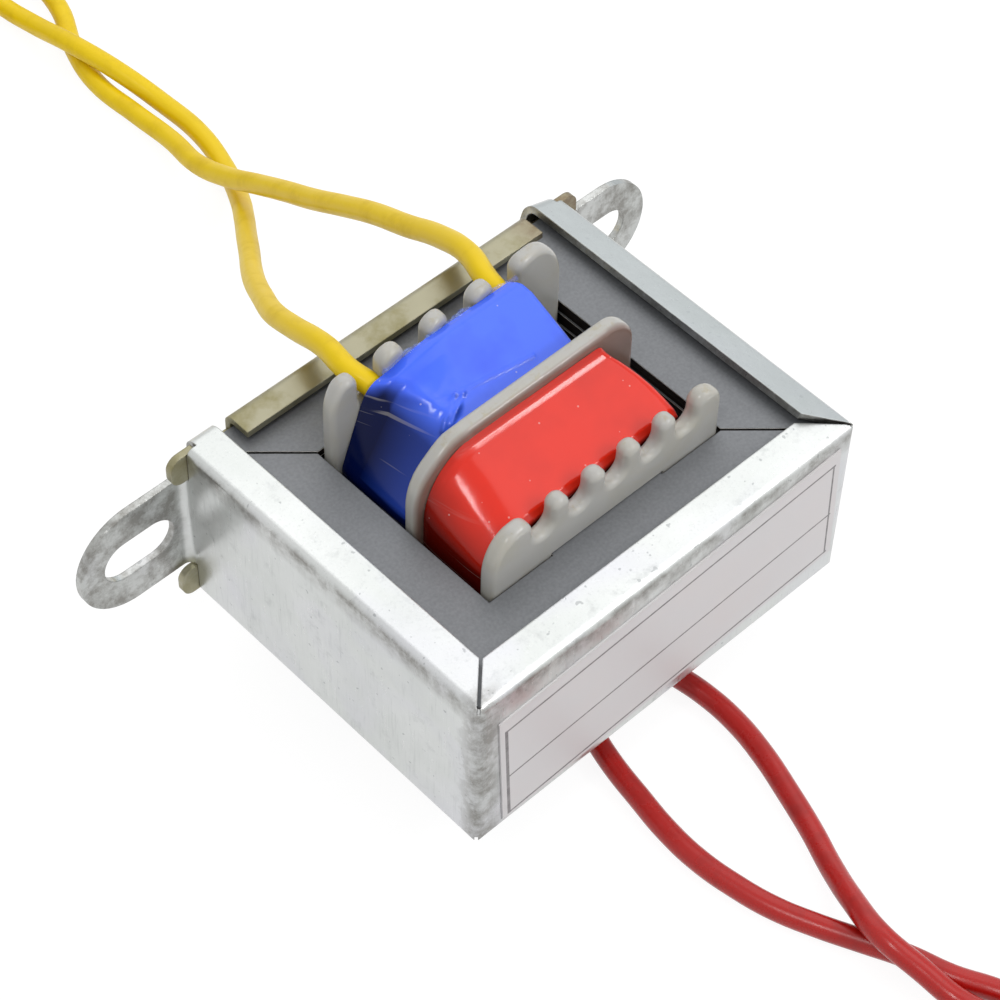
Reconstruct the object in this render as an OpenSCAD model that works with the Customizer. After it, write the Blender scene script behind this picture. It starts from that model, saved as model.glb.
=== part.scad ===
// Small mains transformer: laminated core, split comb bobbin, folded mounting frame and four flying leads.
// Millimetres. The origin is under the middle of the frame, on the surface that the part stands on.
// +X runs from ear to ear, -Y is the labelled wall, +Y is the mounting plane of the ears.

/* [Core plates] */
// Width of the core across the three legs
core_w = 28; // [20:0.5:48]
// Depth of the core along the legs
core_d = 23.3; // [18:0.1:40]
// Thickness of one plate
plate_t = 0.5; // [0.35:0.05:0.65]
// Number of layers in the stack
layers = 24; // [8:2:48]
// Width of each outer leg
leg_w = 5.05; // [3:0.05:8]
// Width of each yoke
yoke_w = 4.6; // [3:0.05:8]
// Width of the centre leg
tongue_w = 8.4; // [6:0.1:14]
// Open seam where two plates of one layer meet
seam_gap = 0.12; // [0.05:0.01:0.3]
// How far every second layer stands to one side
plate_stagger = 0.1; // [0:0.02:0.2]

/* [Mounting frame] */
// Sheet thickness of the frame
sheet_t = 0.45; // [0.3:0.05:1]
// Room between the core and each wall
core_clear = 0.05; // [0.03:0.01:0.2]
// Width of each lip from the wall's outer face
lip_w = 2.45; // [1.6:0.1:4]
// Open mitre between two lips at a front corner
mitre_gap = 0.2; // [0.1:0.02:0.6]
// Angle by which the right upper lip has sprung up
lip_tilt = 18; // [0:1:30]
// Height of each mounting ear
ear_h = 7.7; // [5:0.1:9]
// Reach of each ear from the wall's outer face
ear_reach = 7.7; // [6:0.05:12]
// Distance of a slot's centre from the wall's outer face
slot_off = 3.5; // [3:0.05:6]
// Length of each slot
slot_l = 5; // [3.2:0.1:6]
// Width of each slot
slot_w = 3; // [2:0.1:4.5]
// Length of the flat part of each folded-down tail
tail_l = 1.3; // [0.6:0.1:2]
// Relief between a tail and the wall beside it
tail_relief = 0.3; // [0.15:0.05:0.8]

/* [Closing strip] */
// Sheet thickness of the strip
strip_t = 0.45; // [0.3:0.05:1]
// Room between the core and the strip
strip_clear = 0.03; // [0.02:0.01:0.2]
// Room between the strip and the tails folded over it
tail_clear = 0.05; // [0.03:0.01:0.2]
// Width of the strip's lips from its outer face
strip_lip_w = 2; // [1.2:0.1:4]
// Inside radius of the strip's folds
strip_fold_r = 0.3; // [0.1:0.05:0.6]
// Height at which the strip's lips stand off the core
strip_lift = 0.45; // [0.1:0.05:0.8]
// Distance between the strip's lips and the frame's lips
strip_end_gap = 0.75; // [0.5:0.05:2]
// Reach of each tab past the wall's outer face
tab_reach = 1.15; // [0.6:0.05:2]
// Corner radius of the tabs
tab_r = 0.8; // [0.3:0.1:1]
// Room between a tab and the ear
tab_clear = 0.15; // [0.08:0.01:0.3]
// Step of a tab below the frame's upper edge
tab_drop = 0.3; // [0.1:0.05:0.6]
// Room between the strip's web and what it passes
web_clear = 0.1; // [0.06:0.01:0.2]

/* [Bobbin] */
// End play of the bobbin in the core window, at each end
end_clear = 0.1; // [0.05:0.01:0.3]
// Room between each flange and the outer legs
side_clear = 0.2; // [0.1:0.05:0.6]
// Room between the tube and the centre leg
tube_clear = 0.1; // [0.08:0.01:0.3]
// Wall of the tube
tube_wall = 0.6; // [0.4:0.05:1]
// Thickness of each flange
flange_t = 1.1; // [0.7:0.05:1.6]
// Offset of the middle flange towards the label
middle_off = 0.37; // [0:0.01:1]
// Height of the middle flange above the core
middle_h = 5.65; // [4.5:0.05:9]
// How far the middle flange stops short on its right side
middle_short = 0.9; // [0:0.1:1.5]
// Corner radius of the middle flange
middle_r = 3; // [1:0.1:4]
// Depth of all three flanges below the core
foot_h = 5.35; // [4.8:0.1:8]
// Height of the front comb above the core
front_h = 4.05; // [3.6:0.05:9]
// Height of the back comb above the core
back_h = 5.8; // [4.6:0.1:9]
// Corner radius of the outermost posts
post_r = 1.5; // [0.6:0.1:2]
// Corner radius of the inner teeth
tooth_r = 0.5; // [0.2:0.05:0.6]
// Height of the front notch floors above the core
front_floor = 2.1; // [1.6:0.1:2.6]
// Height of the other notch floors off the core
lead_floor = 3.1; // [1.6:0.1:3.4]
// Number of notches in the front comb
front_notches = 5; // [2:1:5]
// Notch spacing of the front comb
front_pitch = 2.72; // [2.5:0.02:3]
// Sideways offset of the front notches
front_off = 0.53; // [-1:0.01:1]
// Notch width of the front comb
front_notch_w = 1.5; // [1.44:0.02:1.7]
// Number of notches in the back comb
back_notches = 4; // [2:1:4]
// Notch spacing of the back comb
back_pitch = 3.4; // [2.8:0.05:4]
// Sideways offset of the back notches
back_off = -0.8; // [-1.2:0.05:1.2]
// Notch width of the back comb
back_notch_w = 1.65; // [1.44:0.01:1.8]

/* [Windings] */
// Rise of the taped windings above and below the core
coil_rise = 4; // [3:0.05:4.7]
// Distance of the taped windings inside the left edge of the flanges
coil_left = 0.4; // [0.2:0.05:1.5]
// Thickness of the taped windings on the right side of the tube
coil_right = 1.5; // [1.25:0.05:3.65]
// Corner radius of the taped windings
coil_r = 2.2; // [1:0.1:3]
// Thickness of the tape wrap
tape_t = 0.2; // [0.1:0.05:0.4]
// Room between the tube and the winding, and between winding and tape
wrap_clear = 0.02; // [0.01:0.01:0.05]
// Room between a winding and the flange beside it
coil_clear = 0.05; // [0.03:0.01:0.3]

/* [Label] */
// Width of the label
label_w = 26.4; // [12:0.1:26.5]
// Height of the label
label_h = 9.8; // [5:0.1:10]
// Thickness of the label
label_t = 0.1; // [0.05:0.01:0.2]
// Tilt of the label on its wall
label_tilt = 2.8; // [-3:0.1:3]
// Sideways offset of the label
label_x = 0.35; // [-0.4:0.05:0.4]
// Offset of the label from the middle of its wall
label_z = -0.25; // [-0.4:0.05:0.4]

/* [Leads] */
// Diameter of each lead over its insulation
lead_d = 1.4; // [1:0.05:1.42]
// Diameter of each tinned end
tip_d = 0.7; // [0.4:0.05:1]
// Length of each tinned end
tip_l = 4.5; // [2:0.1:5]
// Angle at which a tinned end leaves its coil inwards
tip_turn = 130; // [120:1:150]
// Room between a coil and its tinned ends
tip_clear = 0.05; // [0.02:0.01:0.2]
// Radius of a lead coil at the middle of its turns
wound_r = 8; // [7:0.1:8.1]
// Turns that lie side by side and on each other in a lead coil
wound_n = 2; // [1:1:2]
// Thickness of the tie round a lead coil
tie_t = 0.25; // [0.1:0.05:0.5]
// Width of the tie
tie_w = 1.6; // [1:0.1:3]
// Room between a lead coil and its tie
tie_clear = 0.06; // [0.05:0.01:0.2]

/* [Hidden] */
$fn = 64;
// Overlap where a bend runs on into a flat
lap = 0.05;
// Largest share of a post's half width and height that its rounding takes
round_most = 0.9;

// Core
stack_h = layers * plate_t;
window_l = core_d - 2 * yoke_w;
window_x = core_w / 2 - leg_w;

// Frame
frame_w = core_w + plate_stagger + 2 * core_clear + 2 * sheet_t;
frame_h = stack_h + 2 * sheet_t;
fold_r = core_clear;
fold_out = fold_r + sheet_t;
corner_r = 3 * core_clear;
corner_out = corner_r + sheet_t;
depth = label_t + sheet_t + core_clear + core_d + strip_clear + strip_t + tail_clear + sheet_t;
back_y = depth / 2;
wall_y = label_t - depth / 2;
core_y = wall_y + sheet_t + core_clear + core_d / 2;
wall_end = core_y + core_d / 2;
ear_r = back_y - sheet_t - wall_end;
ear_out = ear_r + sheet_t;
mid_z = foot_h + stack_h / 2;

// Strip
web_y = wall_end + strip_clear;
web_x = frame_w / 2 - sheet_t - web_clear;
web_half = frame_h / 2 - ear_out;
tab_in = frame_w / 2 - sheet_t - tail_relief + web_clear;
strip_half = stack_h / 2 + strip_lift + strip_t;
strip_lip_x = frame_w / 2 - lip_w - strip_end_gap;

// Bobbin and windings
bobbin_l = window_l - 2 * end_clear;
flange_x = window_x - side_clear;
bore_w = tongue_w + 2 * tube_clear;
bore_h = stack_h + 2 * tube_clear;
tube_w = bore_w + 2 * tube_wall;
tube_h = bore_h + 2 * tube_wall;
front_y = core_y - bobbin_l / 2;
rear_y = core_y + bobbin_l / 2 - flange_t;
middle_y = core_y - flange_t / 2 - middle_off;
coil_left_x = coil_left - flange_x;
coil_right_x = tube_w / 2 + coil_right;
coil_w = coil_right_x - coil_left_x;
coil_x = (coil_left_x + coil_right_x) / 2;
coil_h = stack_h + 2 * coil_rise;
primary_y = front_y + flange_t + coil_clear;
primary_l = middle_y - coil_clear - primary_y;
secondary_y = middle_y + flange_t + coil_clear;
secondary_l = rear_y - coil_clear - secondary_y;

// Leads: the surface carries them at their own radius, the coils lie on their ties
lead_sides = 8;
wound_w = wound_n * lead_d;
wound_z = tie_t + tie_clear;
yellow_coil_at = [1.3, 72.5, 0];
red_coil_at = [-5.5, -48.5, 0];
yellow_left_route = [
    [-5.9, 5.7, 21.3], [-5.9, 7.2, 21.3], [-5.4, 10, 20.8], [-4.8, 13.4, 19.1], [-3.8, 16.6, 17],
    [-2.2, 19.6, 14.7], [-0.5, 22.5, 12.4], [1.4, 25.3, 10.1], [3.4, 28, 7.9], [5.4, 30.8, 5.8],
    [7.5, 33.7, 3.8], [9.5, 36.7, 2], [11.2, 40.2, 0.9], [12.2, 44.2, 0.7], [12.2, 48.2, 0.7],
    [11.2, 52.1, 1.9], [10.3, 55.9, 2.3], [10.2, 59.9, 1.3], [10, 63.8, 0.7], [10, 67.2, 0.9]
];
yellow_right_route = [
    [4.3, 5.7, 21.3], [4.35, 7.1, 21.3], [5.3, 9.8, 20.8], [6.1, 13.2, 19.1], [6.6, 16.6, 17],
    [7.1, 20.1, 15], [7.5, 23.5, 12.8], [7.9, 26.9, 10.5], [8.4, 30.3, 8.3], [8.8, 33.7, 6.1],
    [9, 37.2, 4], [9.3, 40.9, 2.3], [10.1, 44.8, 1.2], [10.2, 48.8, 0.7], [10.1, 52.9, 0.7],
    [11.1, 56.8, 0.7], [12.8, 60.6, 0.8], [13.2, 63.8, 1.1], [12.6, 67, 1.7], [11.3, 70.3, 2.2]
];
red_left_route = [
    [-2.2, -6.1, 1.5], [-2.2, -7.4, 1.4], [-2.7, -9.6, 1.1], [-3.2, -11.9, 0.8], [-3.6, -14.4, 0.7],
    [-4, -17, 0.7], [-4.1, -19.6, 0.7], [-3.8, -22.2, 0.7], [-3.2, -24.8, 0.7], [-2.2, -27.3, 0.7],
    [-1.1, -29.6, 0.7], [0, -31.9, 0.7], [0.9, -34.5, 0.7], [2.1, -36.9, 0.7], [3, -39.9, 0.8],
    [3.2, -43.1, 0.9]
];
red_right_route = [
    [3.25, -6.1, 1.5], [3.25, -7.4, 1.4], [3.8, -9.6, 1.1], [4.3, -12, 0.8], [4.3, -14.6, 0.7],
    [3.8, -17.3, 0.7], [3, -20, 0.7], [2.1, -22.7, 0.7], [1, -25.3, 0.9], [-0.1, -27.8, 1.7],
    [-0.9, -30.5, 2.3], [-0.6, -33.3, 1.8], [-0.2, -36.2, 1.3], [0.5, -38.9, 1.9], [1.3, -40.9, 2.3]
];

// Rectangle about the origin with four round corners
module rounded(w, h, r) {
    square([w - 2 * r, h], center = true);
    square([w, h - 2 * r], center = true);
    for (sx = [-1, 1]) {
        for (sy = [-1, 1]) {
            translate([sx * (w / 2 - r), sy * (h / 2 - r)])
                circle(r);
        }
    }
}

// Post from the origin up, with its own radius on the upper left and the upper right corner
module post(w, h, left, right) {
    most = round_most * min(w / 2, h);
    r_left = min(left, most);
    r_right = min(right, most);
    square([w, h - max(r_left, r_right)]);
    translate([r_left, 0])
        square([w - r_left - r_right, h]);
    square([r_left, h - r_left]);
    translate([w - r_right, 0])
        square([r_right, h - r_right]);
    translate([r_left, h - r_left])
        circle(r_left);
    translate([w - r_right, h - r_right])
        circle(r_right);
}

// Quarter bend about the origin, open from -X round to +Y, less the given angle
module bend(r, t, less = 0) {
    far = 2 * (r + t);
    intersection() {
        difference() {
            circle(r + t);
            circle(r);
        }
        polygon([[0, 0], [-far, 0], far * [cos(135), sin(135)], far * [cos(90 + less), sin(90 + less)]]);
    }
}

// Extrude an X-Z outline along +Y from the given place
module along_y(y, l) {
    translate([0, y + l, 0])
        rotate([90, 0, 0])
            linear_extrude(l)
                children();
}

// Extrude a Y-Z outline along X, centred
module along_x(l) {
    rotate([90, 0, 90])
        linear_extrude(l, center = true)
            children();
}

// Folded lip in profile: the wall's outer face is at zero and its upper edge is at zero
module lip_profile(tilt = 0) {
    translate([fold_out, -fold_out]) {
        bend(fold_r, sheet_t, tilt);
        rotate(tilt)
            translate([-lap, fold_r])
                square([lip_w - fold_out + lap, sheet_t]);
    }
}

// Keeps one side of the mitre: of the front lip (forwards) or of the left side lip
module mitre(forwards) {
    reach = frame_w;
    turn = forwards ? 1 : -1;
    translate([-frame_w / 2, wall_y, 0])
        rotate(45)
            translate([0, forwards ? -reach : 0, 0])
                translate([-reach, -turn * mitre_gap / 2, -frame_h])
                    cube([3 * reach, reach, 2 * frame_h]);
}

// Plan of the three walls, with round front corners
module wall_plan(w, from_y, r) {
    translate([0, from_y + r])
        translate([-w / 2, 0])
            square([w, wall_end - from_y - r]);
    translate([-w / 2 + r, from_y])
        square([w - 2 * r, 2 * r]);
    for (s = [-1, 1]) {
        translate([s * (w / 2 - r), from_y + r])
            circle(r);
    }
}

// One folded-down tail behind the left side lip, hung from the line of the lip's fold
module tail(tilt) {
    tail_w = lip_w - sheet_t - tail_relief;
    translate([fold_out, 0, -fold_out])
        rotate([0, -tilt, 0])
            translate([sheet_t + tail_relief - fold_out + tail_w / 2, wall_end, fold_out - ear_out])
                along_x(tail_w) {
                    translate([-lap, ear_r])
                        square([lap, sheet_t]);
                    mirror([1, 0])
                        bend(ear_r, sheet_t);
                    translate([ear_r, -tail_l])
                        square([sheet_t, tail_l]);
                }
}

// Lips along the upper edges; the left one of the pair can stand sprung up
module side_lip(tilt) {
    translate([-frame_w / 2, 0, frame_h / 2]) {
        tail(tilt);
    }
    intersection() {
        mitre(false);
        translate([-frame_w / 2, 0, frame_h / 2])
            along_y(wall_y, wall_end - wall_y)
                lip_profile(tilt);
    }
}

module front_lip() {
    intersection() {
        mitre(true);
        mirror([1, 0, 0])
            mitre(true);
        translate([0, wall_y, frame_h / 2])
            along_x(frame_w)
                lip_profile();
    }
}

// One ear: the wall bends outwards into a slotted plate with a round tip
module ear() {
    tip_x = frame_w / 2 + ear_reach - ear_h / 2;
    bend_x = frame_w / 2 + ear_r;
    translate([bend_x, wall_end, -ear_h / 2])
        linear_extrude(ear_h)
            bend(ear_r, sheet_t);
    along_y(back_y - sheet_t, sheet_t)
        difference() {
            union() {
                translate([bend_x, -ear_h / 2])
                    square([tip_x - bend_x, ear_h]);
                translate([tip_x, 0])
                    circle(d = ear_h);
            }
            translate([frame_w / 2 + slot_off, 0]) {
                square([slot_l - slot_w, slot_w], center = true);
                for (s = [-1, 1]) {
                    translate([s * (slot_l - slot_w) / 2, 0])
                        circle(d = slot_w);
                }
            }
        }
}

module mounting_frame() {
    color("#b9bcbd")
        translate([0, 0, mid_z]) {
            translate([0, 0, fold_out - frame_h / 2])
                linear_extrude(frame_h - 2 * fold_out)
                    difference() {
                        wall_plan(frame_w, wall_y, corner_out);
                        wall_plan(frame_w - 2 * sheet_t, wall_y + sheet_t, corner_r);
                    }
            intersection() {
                translate([0, 0, -frame_h])
                    linear_extrude(2 * frame_h)
                        union() {
                            wall_plan(frame_w, wall_y, corner_out);
                            translate([-frame_w / 2, wall_end])
                                square([frame_w, ear_out]);
                        }
                union() {
                    side_lip(0);
                    mirror([1, 0, 0])
                        side_lip(lip_tilt);
                    front_lip();
                    mirror([0, 0, 1]) {
                        side_lip(0);
                        mirror([1, 0, 0])
                            side_lip(0);
                        front_lip();
                    }
                }
            }
            ear();
            mirror([1, 0, 0])
                ear();
        }
}

// Channel in profile: the web stands at the back and the lips point forwards
module strip_profile() {
    strip_out = strip_fold_r + strip_t;
    translate([web_y, strip_out - strip_half])
        square([strip_t, 2 * (strip_half - strip_out)]);
    for (s = [0, 1]) {
        mirror([0, s])
            translate([web_y + strip_t - strip_out, strip_half - strip_out]) {
                mirror([1, 0])
                    bend(strip_fold_r, strip_t);
                translate([strip_out - strip_lip_w, strip_fold_r])
                    square([strip_lip_w - strip_out, strip_t]);
            }
    }
}

// Flat tab from the origin along +X, round at its far corners
module tab(w, h) {
    square([w - tab_r, h]);
    translate([0, tab_r])
        square([w, h - 2 * tab_r]);
    for (z = [tab_r, h - tab_r]) {
        translate([w - tab_r, z])
            circle(tab_r);
    }
}

module closing_strip() {
    tab_z = ear_h / 2 + tab_clear;
    tab_h = frame_h / 2 - tab_drop - tab_z;
    tab_w = frame_w / 2 + tab_reach - tab_in;
    color("#a3a294")
        translate([0, 0, mid_z]) {
            along_x(2 * strip_lip_x)
                strip_profile();
            along_y(web_y, strip_t) {
                square([2 * web_x, 2 * web_half], center = true);
                for (sx = [0, 1]) {
                    for (sz = [0, 1]) {
                        mirror([sx, 0])
                            mirror([0, sz])
                                translate([tab_in, tab_z])
                                    tab(tab_w, tab_h);
                    }
                }
            }
        }
}

// Upper half of a comb: a plate up to the notches, rounded notch floors, teeth and outer posts
module comb_half(h, floor_h, notches, pitch, off, notch_w) {
    r = notch_w / 2;
    top = stack_h / 2 + h;
    root = stack_h / 2 + floor_h + r;
    first = off - pitch * (notches - 1) / 2;
    difference() {
        translate([-flange_x, 0])
            square([2 * flange_x, root]);
        for (i = [0 : notches - 1]) {
            translate([first + i * pitch, root])
                circle(r);
        }
    }
    for (i = [1 : notches - 1]) {
        translate([first + (i - 1) * pitch + r, root])
            post(pitch - notch_w, top - root, tooth_r, tooth_r);
    }
    translate([-flange_x, root])
        post(first - r + flange_x, top - root, post_r, tooth_r);
    translate([first + (notches - 1) * pitch + r, root])
        post(flange_x - first - (notches - 1) * pitch - r, top - root, tooth_r, post_r);
}

module comb_flange(y, h, floor_h, notches, pitch, off, notch_w) {
    along_y(y, flange_t)
        difference() {
            union() {
                comb_half(h, floor_h, notches, pitch, off, notch_w);
                mirror([0, 1])
                    comb_half(foot_h, lead_floor, notches, pitch, off, notch_w);
            }
            square([bore_w, bore_h], center = true);
        }
}

module bobbin() {
    middle_top = stack_h / 2 + middle_h;
    middle_foot = stack_h / 2 + foot_h;
    color("#c4c3bd")
        translate([0, 0, mid_z]) {
            along_y(front_y, bobbin_l)
                difference() {
                    square([tube_w, tube_h], center = true);
                    square([bore_w, bore_h], center = true);
                }
            comb_flange(front_y, front_h, front_floor, front_notches, front_pitch, front_off, front_notch_w);
            comb_flange(rear_y, back_h, lead_floor, back_notches, back_pitch, back_off, back_notch_w);
            along_y(middle_y, flange_t)
                difference() {
                    translate([-middle_short / 2, (middle_top - middle_foot) / 2])
                        rounded(2 * flange_x - middle_short, middle_top + middle_foot, middle_r);
                    square([bore_w, bore_h], center = true);
                }
        }
}

// Ring round the tube between two rounded outlines, given by how far each lies inside the taped outline
module wrap(y, l, outside, inside) {
    translate([0, 0, mid_z])
        along_y(y, l)
            difference() {
                translate([coil_x, 0])
                    rounded(coil_w - 2 * outside, coil_h - 2 * outside, coil_r - outside);
                if (inside > 0)
                    translate([coil_x, 0])
                        rounded(coil_w - 2 * inside, coil_h - 2 * inside, coil_r - inside);
                else
                    square([tube_w + 2 * wrap_clear, tube_h + 2 * wrap_clear], center = true);
            }
}

module primary_winding() {
    color("#b5652f")
        wrap(primary_y, primary_l, tape_t + wrap_clear, 0);
}

module secondary_winding() {
    color("#b5652f")
        wrap(secondary_y, secondary_l, tape_t + wrap_clear, 0);
}

module primary_tape() {
    color("#d3391c")
        wrap(primary_y, primary_l, 0, tape_t);
}

module secondary_tape() {
    color("#3f63ee")
        wrap(secondary_y, secondary_l, 0, tape_t);
}

// Back plate of one layer: yoke, right leg and half the centre leg, with a mitre at each far corner
module plate() {
    x = core_w / 2;
    y = core_d / 2;
    wy = window_l / 2;
    polygon([
        [seam_gap - x, y], [x, y], [x, seam_gap - y], [window_x, seam_gap - wy], [window_x, wy],
        [tongue_w / 2, wy], [tongue_w / 2, seam_gap / 2], [-tongue_w / 2, seam_gap / 2], [-tongue_w / 2, wy],
        [seam_gap - window_x, wy]
    ]);
}

// Every second layer of one kind of plate, counted down from the top of the stack
module plates(first, turn) {
    side = first == 0 ? 0 : 1;
    color("#8d8f8e")
        for (i = [first : 2 : layers - 1]) {
            translate([(side - 0.5) * plate_stagger, core_y, foot_h + stack_h - (i + 1) * plate_t])
                mirror([side, 0, 0])
                    rotate(turn)
                        linear_extrude(plate_t)
                            plate();
        }
}

module back_plates_odd() {
    plates(0, 0);
}

module front_plates_odd() {
    plates(0, 180);
}

module back_plates_even() {
    plates(1, 0);
}

module front_plates_even() {
    plates(1, 180);
}

module label() {
    color("#dcdcd6")
        translate([label_x, 0, mid_z + label_z])
            rotate([0, -label_tilt, 0])
                along_y(wall_y - label_t, label_t)
                    square([label_w, label_h], center = true);
}

// Round tube swept along a lead's points
function unit(v) = v / norm(v);
function heading(p, i) = unit(p[min(i + 1, len(p) - 1)] - p[max(i - 1, 0)]);
function around(p, i) =
    let (
        t = heading(p, i),
        s = unit(cross(t, [0, 0, 1])),
        u = cross(s, t)
    )
    [for (k = [0 : lead_sides - 1])
        p[i] + lead_d / 2 * (cos(360 * k / lead_sides) * s + sin(360 * k / lead_sides) * u)];

module lead(route) {
    n = lead_sides;
    last = len(route) - 1;
    polyhedron(
        points = [for (i = [0 : last]) each around(route, i)],
        faces = concat(
            [[for (k = [n - 1 : -1 : 0]) k]],
            [for (i = [0 : last - 1]) for (k = [0 : n - 1])
                [i * n + k, i * n + (k + 1) % n, (i + 1) * n + (k + 1) % n, (i + 1) * n + k]],
            [[for (k = [0 : n - 1]) last * n + k]]
        )
    );
}

module yellow_lead_left() {
    color("#e3c21d")
        lead(yellow_left_route);
}

module yellow_lead_right() {
    color("#e3c21d")
        lead(yellow_right_route);
}

module red_lead_left() {
    color("#b3232e")
        lead(red_left_route);
}

module red_lead_right() {
    color("#b3232e")
        lead(red_right_route);
}

// Outer shape of the two wound leads of a pair, on the tie that holds them
module wound() {
    rotate_extrude()
        translate([wound_r, wound_z + wound_w / 2])
            rounded(wound_w, wound_w, lead_d / 2);
}

module yellow_coil() {
    color("#e3c21d")
        translate(yellow_coil_at)
            wound();
}

module red_coil() {
    color("#b3232e")
        translate(red_coil_at)
            wound();
}

// Flat band round the section of a coil, at the given angle
module tie(angle) {
    inner = wound_w + 2 * tie_clear;
    outer = inner + 2 * tie_t;
    rotate(angle)
        translate([wound_r, 0, outer / 2])
            along_y(-tie_w / 2, tie_w)
                difference() {
                    rounded(outer, outer, lead_d / 2);
                    rounded(inner, inner, lead_d / 2 - tie_t);
                }
}

module yellow_tie() {
    color("#2a2a2a")
        translate(yellow_coil_at)
            tie(120);
}

module red_tie() {
    color("#2a2a2a")
        translate(red_coil_at)
            tie(240);
}

// Tinned end that leaves the inside of a coil at an angle, in the given layer; turn is 1 for a left-hand coil
module tip(angle, layer, turn) {
    rotate(angle)
        translate([wound_r - wound_w / 2 - tip_clear - tip_d, 0, wound_z + (layer + 0.5) * lead_d])
            rotate(turn * tip_turn)
                rotate([0, 90, 0])
                    cylinder(d = tip_d, h = tip_l);
}

module yellow_tips() {
    color("#c8c9c6")
        translate(yellow_coil_at) {
            tip(340, 0, 1);
            tip(20, wound_n - 1, 1);
        }
}

module red_tips() {
    color("#c8c9c6")
        translate(red_coil_at) {
            tip(140, 0, -1);
            tip(100, wound_n - 1, -1);
        }
}

mounting_frame();
closing_strip();
bobbin();
primary_winding();
secondary_winding();
primary_tape();
secondary_tape();
back_plates_odd();
front_plates_odd();
back_plates_even();
front_plates_even();
label();
yellow_lead_left();
yellow_lead_right();
red_lead_left();
red_lead_right();
yellow_coil();
red_coil();
yellow_tie();
red_tie();
yellow_tips();
red_tips();
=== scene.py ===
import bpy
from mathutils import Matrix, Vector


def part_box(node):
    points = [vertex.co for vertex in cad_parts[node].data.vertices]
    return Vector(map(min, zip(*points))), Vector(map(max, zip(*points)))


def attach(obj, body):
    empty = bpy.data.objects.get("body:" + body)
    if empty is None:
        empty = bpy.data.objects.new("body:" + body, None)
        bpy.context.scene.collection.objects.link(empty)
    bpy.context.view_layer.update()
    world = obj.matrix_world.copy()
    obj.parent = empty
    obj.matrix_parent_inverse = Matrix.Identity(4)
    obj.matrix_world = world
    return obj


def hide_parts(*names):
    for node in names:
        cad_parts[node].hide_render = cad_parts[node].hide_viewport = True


bl_info = {
    "name": "Small mains transformer",
    "version": (1, 0, 0),
    "blender": (4, 5, 0),
    "location": "View3D > Sidebar > Transformer",
    "description": "Dresses a small mains transformer: sheet metal, core, bobbin, tapes, label and flying leads",
    "category": "Object",
}

import math

import bmesh
import bpy
from bpy.props import FloatProperty, FloatVectorProperty, PointerProperty
from mathutils import Matrix, Vector, noise

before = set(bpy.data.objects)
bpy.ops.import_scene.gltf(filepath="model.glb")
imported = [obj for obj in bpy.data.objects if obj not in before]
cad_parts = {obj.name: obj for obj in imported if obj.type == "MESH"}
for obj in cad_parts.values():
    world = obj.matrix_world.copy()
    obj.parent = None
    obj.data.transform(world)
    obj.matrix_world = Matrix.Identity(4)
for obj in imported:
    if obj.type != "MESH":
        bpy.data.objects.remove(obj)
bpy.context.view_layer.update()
MM = 0.001
# Faces that meet at more than this angle show an edge
SHARP_ANGLE = math.radians(50)


def linear(hex_colour):
    """Linear colour of an sRGB hex value."""
    parts = [int(hex_colour[i:i + 2], 16) / 255 for i in (1, 3, 5)]
    return [c / 12.92 if c <= 0.04045 else ((c + 0.055) / 1.055) ** 2.4 for c in parts] + [1.0]


def length(name, default_mm, description):
    """A length property with its default in millimetres."""
    return FloatProperty(name=name, description=description, default=default_mm * MM, unit="LENGTH", precision=5)


def radii(name, across_mm, up_mm, description):
    """A property of two radii, across and up, with its defaults in millimetres."""
    return FloatVectorProperty(name=name, description=description, default=(across_mm * MM, up_mm * MM), size=2,
                               unit="LENGTH")


def angle(name, default_degrees, description):
    """An angle property with its default in degrees."""
    return FloatProperty(name=name, description=description, default=math.radians(default_degrees), subtype="ANGLE")


def colour(name, default, description):
    """A colour property with an sRGB hex default."""
    return FloatVectorProperty(name=name, description=description, default=linear(default), size=4, subtype="COLOR")


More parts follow.
